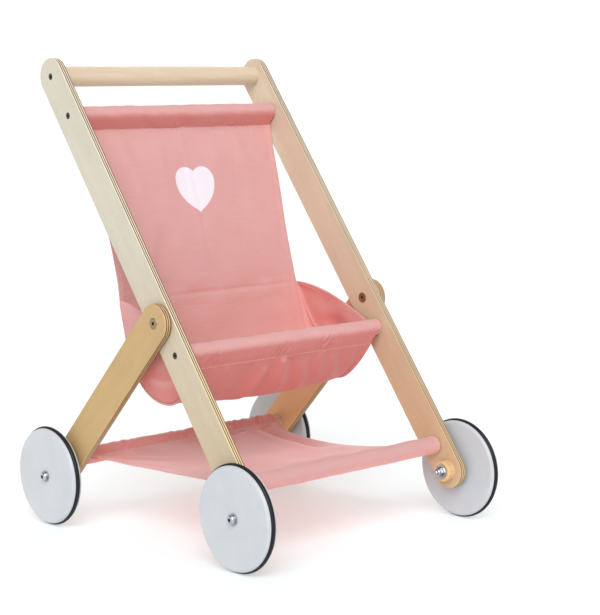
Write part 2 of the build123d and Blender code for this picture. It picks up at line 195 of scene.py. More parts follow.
def smooth_curve(points, step):
    """Evenly spaced points, step apart, on a smooth curve through the given points."""
    points = np.array(points, float)
    padded = np.vstack([2 * points[0] - points[1], points, 2 * points[-1] - points[-2]])
    dense = []
    for k in range(len(points) - 1):
        a, b, c, d = padded[k : k + 4]
        square, cube = 2 * a - 5 * b + 4 * c - d, 3 * b - a - 3 * c + d
        for t in np.linspace(0, 1, 24, endpoint=False):
            dense.append(0.5 * (2 * b + (c - a) * t + square * t**2 + cube * t**3))
    dense.append(points[-1])
    return respace(np.array(dense), step)


def respace(points, step):
    """The same line with its points evenly spaced, about step apart."""
    gaps = np.linalg.norm(np.diff(points[:, :2], axis=0), axis=1)
    along = np.concatenate([[0], np.cumsum(gaps)])
    count = max(2, int(round(along[-1] / step)) + 1)
    wanted = np.linspace(0, along[-1], count)
    return np.stack([np.interp(wanted, along, column) for column in points.T], axis=1)


def step_up(value, low, high):
    """0 below low, 1 above high, smooth between."""
    t = np.clip((value - low) / (high - low), 0, 1)
    return t * t * (3 - 2 * t)


def window(value, low, full, falls, gone):
    """0 below low, 1 from full to falls, 0 beyond gone, smooth between."""
    return step_up(value, low, full) * (1 - step_up(value, falls, gone))


# ---------------------------------------------------------------- material helpers


class Nodes:
    """Short ways to write the node tree of a material or a world."""

    def __init__(self, owner):
        owner.use_nodes = True
        self.nodes, self.links = owner.node_tree.nodes, owner.node_tree.links

    def put(self, socket, value):
        """Sets a socket to a constant, or links an output to it."""
        if isinstance(value, bpy.types.NodeSocket):
            self.links.new(value, socket)
        else:
            socket.default_value = value

    def node(self, kind, **inputs):
        """A new node, with inputs given by their names."""
        made = self.nodes.new("ShaderNode" + kind)
        for name, value in inputs.items():
            self.put(made.inputs[name.replace("_", " ")], value)
        return made

    def math(self, operation, a, b=0.0, clamp=False):
        """One Math node."""
        node = self.node("Math")
        node.operation = operation
        node.use_clamp = clamp
        self.put(node.inputs[0], a)
        self.put(node.inputs[1], b)
        return node.outputs[0]

    def plus(self, a, b):
        return self.math("ADD", a, b)

    def minus(self, a, b, clamp=False):
        return self.math("SUBTRACT", a, b, clamp)

    def times(self, a, b):
        return self.math("MULTIPLY", a, b)

    def band(self, value, low, high):
        """0 below low, 1 above high."""
        node = self.node("MapRange", Value=value, From_Min=low, From_Max=high)
        node.interpolation_type = "SMOOTHSTEP"
        return node.outputs["Result"]

    def mix(self, factor, a, b, blend_type="MIX"):
        """One colour mix."""
        node = self.node("Mix")
        node.data_type = "RGBA"
        node.blend_type = blend_type
        for socket, value in (("Factor", factor), ("A", a), ("B", b)):
            self.put(node.inputs[socket], value)
        return node.outputs["Result"]

    def tinted(self, colour, tint):
        """A colour times a tint."""
        return self.mix(1.0, colour, tint, "MULTIPLY")

    def mapped(self, vector, **change):
        """A vector with a Rotation or a Scale."""
        return self.node("Mapping", Vector=vector, **change).outputs["Vector"]

    def position(self, turn=(0, 0, 0), stretch=(1, 1, 1)):
        """The point on the part, turned and then stretched."""
        point = self.node("TexCoord").outputs["Object"]
        return self.mapped(self.mapped(point, Rotation=turn), Scale=stretch)

    def noise(self, vector, scale, detail=3.0, roughness=0.5, distortion=0.0):
        """One noise texture's factor."""
        shape = {"Scale": scale, "Detail": detail, "Roughness": roughness, "Distortion": distortion}
        return self.node("TexNoise", Vector=vector, **shape).outputs["Fac"]

    def split(self, vector):
        """The three parts of a vector."""
        return self.node("SeparateXYZ", Vector=vector).outputs

    def hollow(self, distance):
        """1 out in the open, less where other surfaces are within the distance."""
        node = self.node("AmbientOcclusion", Distance=distance)
        node.samples = 8
        return node.outputs["AO"]


class Finish(Nodes):
    """A material and its principled shader."""

    def __init__(self, name, roughness):
        self.material = bpy.data.materials.new(name)
        super().__init__(self.material)
        self.shader = self.nodes["Principled BSDF"]
        self.set(Roughness=roughness)

    def set(self, **sockets):
        """Sets or links the shader's sockets by their names."""
        for name, value in sockets.items():
            self.put(self.shader.inputs[name.replace("_", " ")], value)

    def bump(self, height, distance, strength=1.0):
        """Bump from a height, in metres at full strength."""
        node = self.node("Bump", Height=height, Distance=distance, Strength=strength)
        self.set(Normal=node.outputs["Normal"])


GRAIN_TINT = (0.95, 0.935, 0.905, 1)
CLOUD_TINT = (0.95, 0.955, 0.95, 1)
BOARD_THICKNESS = 9 * MM
CROSS_PLIES = [1.2 * MM, 4.1 * MM, 7.0 * MM]  # middles of the dark plies, from the inner face
CROSS_PLY_HALF = (0.85 * MM, 0.5 * MM)  # from a ply's middle to where its dark ends, and is full
LOW_SHADE_HEIGHTS = (0.40, 0.06)  # between these heights the veneers are painted darker and warmer, as shade near the floor


def plywood(name, turn, inner_face, outer_veneer, inner_veneer, golden, edge_ply, cross_ply):
    """Plywood board: softly mottled veneers and edges striped by the plies.

    Three plies lie across the board, and show dark end grain at its edges. Low down the veneers
    are painted darker and warmer by the golden tint, as shade near the floor.
    """
    tree = Finish(name, 0.5)
    along = tree.position(turn, (1, 1, 0.045))
    fine = tree.noise(along, 900, 4, 0.6)
    broad = tree.noise(along, 60, 3, 0.5, 0.8)
    cloud = tree.noise(tree.position(turn, (1, 1, 0.45)), 38, 3, 0.6)
    grain = tree.plus(tree.times(fine, 0.55), tree.times(broad, 0.45))
    x, _, height = tree.split(tree.position())
    depth = tree.minus(tree.math("ABSOLUTE", x), inner_face)
    halfway = BOARD_THICKNESS / 2
    outer = tree.band(depth, halfway - MM / 2, halfway + MM / 2)
    face = tree.mix(outer, inner_veneer, outer_veneer)
    face = tree.mix(tree.band(grain, 0.36, 0.68), face, tree.tinted(face, GRAIN_TINT))
    face = tree.mix(tree.band(cloud, 0.38, 0.66), face, tree.tinted(face, CLOUD_TINT))
    # Painted shade: low down the veneers take the golden tint, darker and warmer.
    low = tree.band(height, *LOW_SHADE_HEIGHTS)
    face = tree.mix(low, face, tree.tinted(face, golden))
    specks = tree.band(tree.noise(tree.position(turn, (1, 1, 0.10)), 1300, 1), 0.68, 0.76)
    face = tree.mix(tree.times(specks, 0.22), face, cross_ply)

    wobble = tree.minus(tree.noise(tree.position(turn, (1, 1, 0.3)), 60, 2), 0.5)
    layer = tree.plus(depth, tree.times(wobble, 0.3 * MM))
    dark = 0.0
    for middle in CROSS_PLIES:
        gap = tree.math("ABSOLUTE", tree.minus(layer, middle))
        dark = tree.math("MAXIMUM", dark, tree.band(gap, *CROSS_PLY_HALF))
    end_grain = tree.noise(tree.position(turn, (1, 1, 1)), 1400, 2)
    cross = tree.mix(end_grain, tree.tinted(cross_ply, (1.5, 1.5, 1.5, 1)), cross_ply)
    long_ply = tree.mix(tree.band(grain, 0.3, 0.7), edge_ply, outer_veneer)
    # Painted shade low down on the ply edges too.
    long_ply = tree.mix(low, long_ply, tree.tinted(long_ply, golden))
    past_outer = tree.band(depth, BOARD_THICKNESS - 0.2 * MM, BOARD_THICKNESS - 0.4 * MM)
    inside = tree.times(tree.band(depth, 0.15 * MM, 0.35 * MM), past_outer)
    tree.set(Base_Color=tree.mix(inside, face, tree.mix(dark, long_ply, cross)))
    tree.set(Roughness=tree.plus(0.42, tree.times(grain, 0.2)))
    tree.bump(grain, 0.1 * MM, 0.3)
    return tree.material


def turned_wood(name, light, dark, ray):
    """Turned dowel: fine streaks and short rays along X."""
    tree = Finish(name, 0.48)
    along = tree.position((0, 0, 0), (0.05, 1, 1))
    streaks = tree.noise(along, 700, 4, 0.6)
    broad = tree.noise(along, 90, 3, 0.5, 0.8)
    grain = tree.plus(tree.times(streaks, 0.5), tree.times(broad, 0.5))
    colour = tree.mix(tree.band(grain, 0.35, 0.68), light, dark)
    rays = tree.band(tree.noise(tree.position((0, 0, 0), (0.16, 1, 1)), 1300, 1), 0.69, 0.77)
    tree.set(Base_Color=tree.mix(tree.times(rays, 0.6), colour, ray))
    tree.set(Roughness=tree.plus(0.4, tree.times(streaks, 0.22)))
    tree.bump(grain, 0.1 * MM, 0.35)
    return tree.material


def white_paint():
    """Sprayed satin paint over wood: almost even, with faint orange peel."""
    tree = Finish("white_paint", 0.34)
    mottle = tree.noise(tree.position(), 35, 3)
    uneven = tree.band(mottle, 0.3, 0.7)
    tree.set(Base_Color=tree.mix(uneven, (0.51, 0.525, 0.545, 1), (0.485, 0.50, 0.52, 1)))
    peel = tree.noise(tree.position(), 700, 2)
    tree.set(Roughness=tree.plus(0.3, tree.times(mottle, 0.12)))
    tree.set(Coat_Weight=0.15, Coat_Roughness=0.25)
    tree.bump(peel, 0.05 * MM, 0.3)
    return tree.material


def rubber():
    """Black rubber ring with a faint bloom."""
    tree = Finish("black_rubber", 0.55)
    dust = tree.noise(tree.position(), 160, 4)
    bloom = tree.band(dust, 0.35, 0.75)
    tree.set(Base_Color=tree.mix(bloom, (0.0035, 0.0035, 0.0045, 1), (0.009, 0.009, 0.011, 1)))
    tree.set(Roughness=tree.plus(0.30, tree.times(dust, 0.25)))
    tree.set(Specular_IOR_Level=0.3)
    tree.bump(tree.noise(tree.position(), 1800, 2), 0.03 * MM, 0.3)
    return tree.material


def metal(name, colour, dull, rough):
    """Plated steel or brass with turning marks, slight dulling, and painted shade in its recesses."""
    tree = Finish(name, rough)
    tree.set(Metallic=1.0)
    marks = tree.noise(tree.position((0, 0, 0), (1, 0.2, 1)), 2600, 3)
    patches = tree.noise(tree.position(), 420, 3)
    plated = tree.mix(tree.band(patches, 0.35, 0.75), colour, dull)
    # Painted shade: near black in recesses where other surfaces lie within 4 mm.
    open_air = tree.band(tree.hollow(4 * MM), 0.25, 0.75)
    tree.set(Base_Color=tree.mix(open_air, (0.02, 0.018, 0.016, 1), plated))
    tree.set(Roughness=tree.plus(rough - 0.08, tree.times(marks, 0.2)))
    tree.bump(marks, 0.03 * MM, 0.25)
    return tree.material


def nylon():
    """Natural nylon, slightly uneven."""
    tree = Finish("white_nylon", 0.5)
    haze = tree.noise(tree.position(), 300, 2)
    tree.set(Base_Color=tree.mix(haze, (0.78, 0.77, 0.74, 1), (0.70, 0.69, 0.66, 1)))
    tree.set(Roughness=tree.plus(0.4, tree.times(haze, 0.15)))
    return tree.material


PAINTED_BOUNCE_TINT = (1.24, 1.10, 1.05, 1)  # painted bounce light: hollows tinted redder and brighter, as where cloth lights cloth
MOTIF_INK = (0.76, 0.70, 0.755, 1)


def cotton(name, light, shaded_colour, thread=0.55 * MM, motif=None, bounce_tint=PAINTED_BOUNCE_TINT, underside_shade=1, shaded_beyond=None):
    """Plain-woven cotton, with painted shade: faces that look down are painted deeper, faces that
    look up paler.

    The cloth attribute holds the flat position in metres, and the side. motif is the middle
    and size of a printed heart, on the side marked 1. bounce_tint is painted bounce light, a
    tint in hollows where cloth lights cloth; underside_shade is how strongly the painted shade
    deepens faces that look down; and beyond the distance called shaded_beyond, where the cloth
    lies double, it is painted a little deeper, as shade.
    """
    tree = Finish(name, 0.85)
    attribute = tree.node("Attribute")
    attribute.attribute_name = "cloth"
    flat = attribute.outputs["Vector"]
    across, along, side = tree.split(flat)
    warp_slub = tree.noise(tree.mapped(flat, Scale=(1, 0.03, 1)), 1500, 2)
    weft_slub = tree.noise(tree.mapped(flat, Scale=(0.03, 1, 1)), 1500, 2)
    coarse_slub = tree.noise(tree.mapped(flat, Scale=(0.12, 1, 1)), 330, 3)
    mottle = tree.noise(flat, 40, 3, 0.6)
    turns = math.pi / thread
    warp = tree.math("SINE", tree.times(across, turns))
    weft = tree.math("SINE", tree.times(along, turns))
    weave = tree.times(warp, weft)
    slubs = tree.plus(warp_slub, weft_slub)
    tint = tree.times(tree.minus(slubs, 1.0), 0.9)
    tint = tree.plus(tint, tree.times(tree.minus(mottle, 0.5), 0.8))
    tint = tree.plus(tint, tree.times(tree.minus(coarse_slub, 0.5), 0.8))
    tint = tree.plus(tint, tree.times(weave, 0.10))
    # Painted shade: faces that look down go towards the shaded colour, faces that look up towards the
    # lit one.
    normal = tree.node("NewGeometry").outputs["Normal"]
    upward = tree.band(tree.split(normal)[2], -0.45, 0.34)
    painted_shade = tree.times(tree.minus(1.0, upward), underside_shade)
    tint = tree.plus(tree.times(tint, 0.35), tree.minus(1.0, painted_shade))
    # Painted shade: the cloth past the given distance, where it lies double, is painted deeper.
    if shaded_beyond:
        beyond = tree.band(along, shaded_beyond - 1 * MM, shaded_beyond + 1 * MM)
        tint = tree.minus(tint, tree.times(beyond, 0.55))
    colour = tree.mix(tree.minus(tint, 0.08, True), shaded_colour, light)
    # Painted bounce light: the colour is tinted where other surfaces lie within 180 mm.
    open_air = tree.band(tree.hollow(180 * MM), 0.25, 0.85)
    colour = tree.mix(open_air, tree.tinted(colour, bounce_tint), colour)
    if motif:
        middle_x, middle_s, size = motif
        a = tree.times(tree.minus(across, middle_x), 1 / size)
        b = tree.times(tree.minus(middle_s, along), 1 / size)
        round_part = tree.plus(tree.times(a, a), tree.times(b, b))
        lobes = tree.times(tree.math("POWER", tree.math("ABSOLUTE", a), 2 / 3), b)
        heart = tree.band(tree.minus(round_part, lobes), 1.02, 0.98)
        printed = tree.times(heart, tree.band(side, 0.0, 0.5))
        ink = tree.minus(0.96, tree.times(tree.band(slubs, 1.05, 1.5), 0.5))
        colour = tree.mix(tree.times(printed, ink), colour, MOTIF_INK)
    tree.set(Base_Color=colour)
    height = tree.plus(tree.times(weave, 0.5), slubs)
    tree.bump(height, 0.12 * MM, 0.45)
    tree.set(Sheen_Weight=0.25, Sheen_Roughness=0.55, Specular_IOR_Level=0.25)
    return tree.material


# ---------------------------------------------------------------- the CAD pieces' materials


# What each material's function takes after its name.
PLYWOODS = {
    "pale_plywood": (
        (LEAN, 0, 0), BOARD_INNER,
        (0.57, 0.52, 0.425, 1), (0.63, 0.495, 0.37, 1), (0.93, 0.80, 0.64, 1),
        (0.88, 0.75, 0.50, 1), (0.11, 0.05, 0.019, 1),
    ),
    "golden_plywood": (
        (-LEG_LEAN, 0, 0), LEG_INNER,
        (0.49, 0.33, 0.15, 1), (0.76, 0.455, 0.215, 1), (1.0, 0.97, 0.92, 1),
        (0.64, 0.46, 0.26, 1), (0.11, 0.042, 0.016, 1),
    ),
}
TURNED_WOODS = {
    "dowel_wood": ((0.64, 0.52, 0.385, 1), (0.58, 0.44, 0.30, 1), (0.42, 0.26, 0.13, 1)),
    "boss_wood": ((0.70, 0.47, 0.235, 1), (0.60, 0.37, 0.165, 1), (0.34, 0.18, 0.08, 1)),
}
METALS = {
    "zinc_steel": ((0.52, 0.53, 0.56, 1), (0.38, 0.39, 0.42, 1), 0.25),
    "dark_screw_steel": ((0.11, 0.10, 0.10, 1), (0.07, 0.065, 0.06, 1), 0.42),
    "bronzed_steel": ((0.40, 0.29, 0.175, 1), (0.22, 0.15, 0.09, 1), 0.27),
    "brass": ((0.72, 0.52, 0.22, 1), (0.58, 0.40, 0.17, 1), 0.3),
}


def paint_frame():
    """Gives every hard CAD node its material."""
    materials = {
        "white_painted_wood": white_paint(), "black_rubber": rubber(), "white_nylon": nylon(),
    }
    for maker, looks in ((plywood, PLYWOODS), (turned_wood, TURNED_WOODS), (metal, METALS)):
        for name, look in looks.items():
            materials[name] = maker(name, *look)
    for row in frame["record"]["subparts"]:
        material = materials.get(row["material_slot"])
        if material:
            mesh = frame["nodes"][row["node"]].data
            mesh.materials.clear()
            mesh.materials.append(material)


# ---------------------------------------------------------------- cloth geometry

HALF_CLOTH = 0.40 * MM  # half the thickness of one layer of cotton
HEM_EXTRA = 0.40 * MM  # what a turned hem adds to each face
HEM = 7.0 * MM
HEM_STITCHES = HEM - 1.6 * MM  # from the cloth's edge
LAID_HALF = 146 * MM  # the half width over which a cloth's columns are spaced
SLEEVE_RADIUS = DOWEL_RADIUS + 1.2 * MM
SLEEVE_HALF = CLOTH_HALF_WIDTH + 1.5 * MM  # the sleeves all but touch the boards
STITCH_PITCH, STITCH_LENGTH, STITCH_RADIUS = 3.3 * MM, 2.4 * MM, 0.38 * MM
STITCH_RINGS = [(-0.5, 0.15), (-0.42, 0.8), (-0.2, 1.0), (0.2, 1.0), (0.42, 0.8), (0.5, 0.15)]
STITCH_SIDES = 6
PIPING_HALVES = (1.2 * MM, 0.8 * MM)  # half its width and half its height
PIPING_SIDES = 10


def waves(x, s, shortest, longest, seed, count=26):
    """Smooth, repeatable unevenness between about -1 and 1, from crossing sine waves."""
    dice = np.random.default_rng(seed)
    total = np.zeros(np.broadcast(x, s).shape)
    for _ in range(count):
        length = shortest * (longest / shortest) ** dice.random()
        angle = dice.random() * math.pi
        phase = dice.random() * 2 * math.pi
        total += np.sin(2 * math.pi / length * (x * math.cos(angle) + s * math.sin(angle)) + phase)
    return total / math.sqrt(count)


def ridge(x, s, start, end, width, height):
    """A soft fold that runs from start to end over the flat cloth and fades at both."""
    ax, ay = start
    bx, by = end
    length = math.hypot(bx - ax, by - ay)
    ux, uy = (bx - ax) / length, (by - ay) / length
    along = ((x - ax) * ux + (s - ay) * uy) / length
    across = (x - ax) * uy - (s - ay) * ux
    spread = width * (0.75 + 0.6 * np.clip(along, 0, 1))
    fade = window(along, -0.12, 0.12, 0.6, 1.1)
    beside = np.exp(-(((across - 2 * spread) / spread) ** 2))
    return height * fade * (np.exp(-((across / spread) ** 2)) - 0.45 * beside)


def folds(x, distance, table):
    """The sum of a table of soft folds."""
    total = 0 * x
    for start, end, width, height in table:
        a, b = np.array(start) * MM, np.array(end) * MM
        total = total + ridge(x, distance, a, b, width * MM, height * MM)
    return total


def puckers(x, distance, pitch, height, reach, seed, slant=0.0):
    """Small gathers that die away from a line of stitches, leaning by slant."""
    lean = x - slant * np.abs(distance)
    phase = 2 * math.pi * lean / pitch + 2.0 * waves(x, 0 * x, 18 * MM, 70 * MM, seed, 8)
    size = np.clip(0.65 + 0.6 * waves(x, 0 * x, 25 * MM, 110 * MM, seed + 1, 8), 0.05, 1.5)
    profile = np.sin(phase) + 0.3 * np.sin(2 * phase + 0.7)
    return height * size * profile * np.exp(-((np.abs(distance) / reach) ** 1.5))


def groove(distance, depth, width=1.9 * MM):
    """The valley that a line of stitches pulls into the cloth."""
    return depth * np.exp(-((distance / width) ** 2))


def sleeve_loop(centre, stitch, clockwise):
    """Cloth drawn round a bar from a line of stitches and back to it, as (y, z) points."""
    offset = np.array(stitch) - centre
    middle = math.atan2(offset[1], offset[0])
    half = math.acos(SLEEVE_RADIUS / np.linalg.norm(offset))
    angles = np.linspace(middle + half, middle + 2 * math.pi - half, 40)
    if clockwise:
        angles = angles[::-1]
    return centre + SLEEVE_RADIUS * np.stack([np.cos(angles), np.sin(angles)], axis=1)


def wide(points, half=SLEEVE_HALF):
    """Side view points, or one, each with its half width."""
    points = np.atleast_2d(points)
    return np.column_stack([points, np.broadcast_to(half, len(points))])


class Section:
    """A cloth's side view: runs of (y, z, half width) points, each evenly spaced."""

    def __init__(self, step):
        self.step = step
        self.runs = {}

    def add(self, name, *parts, curved=True):
        """Adds a run through the parts' points. It starts where the last one ended."""
        self.runs[name] = (smooth_curve if curved else respace)(np.vstack(parts), self.step)

    def close(self):
        """Joins the runs and measures along them."""
        runs = list(self.runs.values())
        kept = [runs[0]] + [run[1:] for run in runs[1:]]
        self.line = np.vstack(kept)
        gaps = np.linalg.norm(np.diff(self.line[:, :2], axis=0), axis=1)
        self.s = np.concatenate([[0], np.cumsum(gaps)])
        ends = np.cumsum([len(run) for run in kept]) - 1
        starts = np.concatenate([[0], ends[:-1]])
        self.rows = {n: (int(a), int(b)) for n, a, b in zip(self.runs, starts, ends)}
        tangent = np.gradient(self.line[:, :2], self.s, axis=0)
        tangent /= np.linalg.norm(tangent, axis=1)[:, None]
        self.normal = np.stack([tangent[:, 1], -tangent[:, 0]], axis=1)
        return self

    def span(self, name):
        """Where a run starts and ends along the cloth."""
        first, last = self.rows[name]
        return self.s[first], self.s[last]


def width_stations(step):
    """Shares of the half width from -1 to 1, close together over the hems."""
    over_hem = [HEM - 1.6 * MM, HEM - 0.5 * MM, HEM + 0.1 * MM, HEM + 0.8 * MM]
    edge = [0, 0.25 * MM, 0.9 * MM, 2.2 * MM] + over_hem
    inner = np.linspace(HEM + 2.5 * MM, LAID_HALF, int((LAID_HALF - HEM) / step))
    right = 1 - np.concatenate([edge, inner[:-1]]) / LAID_HALF
    return np.concatenate([-right, [0], right[::-1]])


def columns_at(share, distance):
    """The two grid columns nearest to a distance from the cloth's edges."""
    right = int(np.argmin(np.abs(LAID_HALF * (1 - share) - distance)))
    return right, len(share) - 1 - right


def grid_of_section(section, share, displacement, bow=0.0, bowed=None):
    """Points of a cloth: the side view carried over the width, plus its displacement.

    bow is how far the seam between the two bowed runs drops at mid width.
    """
    s = section.s[:, None] + 0 * share[None, :]
    if bowed:
        start, seam = section.span(bowed[0])
        end = section.span(bowed[1])[1]
        drop = bow * (1 - share[None, :] ** 2)
        above = (s - start) / (seam - start)
        below = (end - s) / (end - seam)
        s = s + drop * np.where(s < seam, np.clip(above, 0, 1), np.clip(below, 0, 1))
    y, z, half = (np.interp(s, section.s, column) for column in section.line.T)
    normal_y, normal_z = (np.interp(s, section.s, column) for column in section.normal.T)
    x = half * share[None, :]
    rise = displacement(section, x, s, share[None, :])
    points = np.stack([x, y + normal_y * rise, z + normal_z * rise], axis=-1)
    return points, np.stack([x, s], axis=-1)


def hem_thickness(section, share):
    """Half the cloth's thickness, more over the side hems and the turned ends."""
    from_edge = section.line[:, 2][:, None] * (1 - np.abs(share[None, :]))
    thick = HALF_CLOTH + HEM_EXTRA * (1 - step_up(from_edge, HEM - 0.5 * MM, HEM + 0.6 * MM))
    runs = {name: slice(first, last + 1) for name, (first, last) in section.rows.items()}
    for name in runs:
        if name.endswith("loop"):
            thick[runs[name]] = HALF_CLOTH
    for name in runs:
        if name.endswith("hem"):
            thick[runs[name]] = np.maximum(thick[runs[name]], HALF_CLOTH + 0.1 * MM)
    return thick


def grid_faces(rows, columns, first=0, flip=False):
    """Quads over a grid of points stored row by row."""
    index = np.arange(rows * columns).reshape(rows, columns) + first
    a, b, c, d = index[:-1, :-1], index[:-1, 1:], index[1:, 1:], index[1:, :-1]
    quads = np.stack([a, b, c, d], axis=-1).reshape(-1, 4)
    return quads[:, ::-1] if flip else quads


def grid_normals(points):
    """Unit normals of a grid of points."""
    normal = np.cross(np.gradient(points, axis=0), np.gradient(points, axis=1))
    length = np.linalg.norm(normal, axis=2)
    return normal / np.maximum(length, 1e-12)[:, :, None]


def tube_faces(rings, sides, first=0):
    """Faces of a closed tube of rings of points, stored ring by ring."""
    faces = []
    for ring in range(rings - 1):
        for k in range(sides):
            a, b = (first + ring * sides + turn for turn in (k, (k + 1) % sides))
            faces.append((a, b, b + sides, a + sides))
    last = first + (rings - 1) * sides
    return faces + [tuple(range(start, start + sides)) for start in (first, last)]


def cloth_mesh(name, points, faces, flats, material):
    """A closed mesh that keeps each point's flat position and side in its cloth attribute."""
    thing = new_mesh(name, points, faces)
    attribute = thing.data.attributes.new("cloth", "FLOAT_VECTOR", "POINT")
    attribute.data.foreach_set("vector", np.array(flats, float).ravel())
    thing.data.materials.append(material)
    shape = bmesh.new()
    shape.from_mesh(thing.data)
    bmesh.ops.recalc_face_normals(shape, faces=shape.faces)
    shape.to_mesh(thing.data)
    shape.free()
    return thing


class Sheet:
    """A closed thin sheet over a grid of points. Side 1 is the normal's side, -1 behind it."""

    def __init__(self, name, points, flat, half, material):
        self.points, self.normals, self.half = points, grid_normals(points), half
        rows, columns = points.shape[:2]
        count = rows * columns
        index = np.arange(count).reshape(rows, columns)
        loop = np.concatenate([index[0, :-1], index[:-1, -1], index[-1, :0:-1], index[:0:-1, 0]])
        following = np.roll(loop, -1)
        rim = np.stack([following, loop, loop + count, following + count], axis=1)
        faces = np.vstack([grid_faces(rows, columns), grid_faces(rows, columns, count, True), rim])
        off = self.normals * half[:, :, None]
        both = np.vstack([(points + off).reshape(-1, 3), (points - off).reshape(-1, 3)])
        sides = np.concatenate([np.ones(count), -np.ones(count)])
        flats = np.column_stack([np.vstack([flat.reshape(-1, 2)] * 2), sides])
        self.piece = cloth_mesh(name, both, faces, flats, material)

    def line(self, side, row=None, column=None, low=0, high=None):
        """A row or column just proud of one side, with its normals, for stitches."""
        pick = (slice(low, high), column) if row is None else (row, slice(low, high))
        normal = self.normals[pick] * side
        return self.points[pick] + normal * (self.half[pick][:, None] + 0.12 * MM), normal


def stitches(name, lines, material):
    """Lines of thread, a small capsule for each stitch. A line is (points, normals)."""
    points, faces, flats = [], [], []

    def read(table, along, place):
        return np.array([np.interp(place, along, column) for column in table.T])

    for line, normals in lines:
        gaps = np.linalg.norm(np.diff(line, axis=0), axis=1)
        along = np.concatenate([[0], np.cumsum(gaps)])
        for place in np.arange(STITCH_PITCH / 2, along[-1], STITCH_PITCH):
            middle, up = read(line, along, place), read(normals, along, place)
            tangent = read(line, along, place + 0.5 * MM) - read(line, along, place - 0.5 * MM)
            tangent /= np.linalg.norm(tangent)
            up = up - tangent * (up @ tangent)
            up /= np.linalg.norm(up)
            side = np.cross(tangent, up)
            faces += tube_faces(len(STITCH_RINGS), STITCH_SIDES, len(points))
            for share, size in STITCH_RINGS:
                dip = 0.25 * MM * (2 * abs(share)) ** 3
                ring = middle + tangent * share * STITCH_LENGTH - up * dip
                for k in range(STITCH_SIDES):
                    turn = 2 * math.pi * k / STITCH_SIDES
                    out = math.cos(turn) * side + 0.8 * math.sin(turn) * up
                    points.append(ring + STITCH_RADIUS * size * out)
                    flats.append((place + share * STITCH_LENGTH, turn * STITCH_RADIUS, 1))
    return cloth_mesh(name, points, faces, flats, material)


def piping(name, line, normals, flat, material):
    """A seam's folded edge: a flat tube along a line of points, narrower at its ends."""
    tangent = np.gradient(line, axis=0)
    tangent /= np.linalg.norm(tangent, axis=1)[:, None]
    side = np.cross(tangent, normals)
    side /= np.linalg.norm(side, axis=1)[:, None]
    half_width, half_height = PIPING_HALVES
    points, flats = [], []
    for k, middle in enumerate(line):
        size = min(1.0, 0.25 + 0.375 * min(k, len(line) - 1 - k))
        for turn in np.linspace(0, 2 * math.pi, PIPING_SIDES, endpoint=False):
            out = half_width * math.cos(turn) * side[k] + half_height * math.sin(turn) * normals[k]
            points.append(middle + size * out)
            flats.append((half_width * turn, flat[k], 1))
    return cloth_mesh(name, points, tube_faces(len(line), PIPING_SIDES), flats, material)


def on_frame(*pieces):
    """Rides cloth pieces on the frame body."""
    for piece in pieces:
        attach(piece, "frame")


# ---------------------------------------------------------------- the seat

SEAT_STITCH_TOP = BACKREST + np.array([0.2, -17.1]) * MM
SEAT_STITCH_FRONT = SEAT_FRONT + np.array([-3.75, -16.7]) * MM
SEAT_STEP = 2.0 * MM  # between rows of the strip
SEAT_WIDTH_STEP = 1.9 * MM  # between its columns
CREASE = np.array([77.75, 274.0]) * MM  # where the back is sewn to the bucket
CREASE_HALF = 140 * MM
CREASE_BOW = 14.5 * MM
FRONT_HALF = 140.5 * MM  # half the strip's width at its front stitches, drawn in by the gathers
PANEL_HALF = 136 * MM  # half its width below them
PANEL_STITCHES = 8.6 * MM  # from the front panel's edge
HEM_END = 8 * MM  # from a sleeve's stitches to its turned end

# Side view points down the back and round the bucket: (y, z, half width) in mm.
BACK_LINE = [(122.75, 441, 146.5), (110.25, 398, 144), (95.25, 347, 139.4), (83.25, 300, 138.8)]
BUCKET_LINE = [
    (70.25, 245, 140.5), (64.5, 222, 140.5), (55.5, 199, 140), (42.25, 180, 139.5),
    (24.25, 166.5, 139), (5.25, 160, 137), (-14.75, 162.5, 135.5), (-37.75, 181, 136),
]


def seat_section():
    """The strip from its hem behind the top stitches, down the back and up to the front bar."""
    section = Section(SEAT_STEP)
    behind = SEAT_STITCH_TOP + np.array([1.3, 0.2]) * MM
    hem_end = behind + HEM_END * np.array([-0.30, -0.954])
    top = sleeve_loop(BACKREST, SEAT_STITCH_TOP, False)
    section.add("top_hem", wide(hem_end), wide(behind), curved=False)
    section.add("top_loop", wide(behind), wide(top), wide(SEAT_STITCH_TOP), curved=False)
    crease = wide(CREASE, CREASE_HALF)
    section.add("back", wide(SEAT_STITCH_TOP), np.array(BACK_LINE) * MM, crease)
    stitch = wide(SEAT_STITCH_FRONT, FRONT_HALF)
    section.add("bucket", crease, np.array(BUCKET_LINE) * MM, stitch)
    front = sleeve_loop(SEAT_FRONT, SEAT_STITCH_FRONT, True)
    turn = np.linspace(0, 1, len(front))
    taper = np.minimum(step_up(turn, -0.08, 0.10), 1 - step_up(turn, 0.75, 1.1))
    loop = wide(front, FRONT_HALF + (SLEEVE_HALF - FRONT_HALF) * taper)
    inside = SEAT_STITCH_FRONT + np.array([1.2, 0.4]) * MM
    section.add("front_loop", stitch, loop, wide(inside, FRONT_HALF), curved=False)
    hem_end = inside + HEM_END * np.array([0.55, -0.835])
    section.add("front_hem", wide(inside, FRONT_HALF), wide(hem_end, FRONT_HALF), curved=False)
    return section.close()


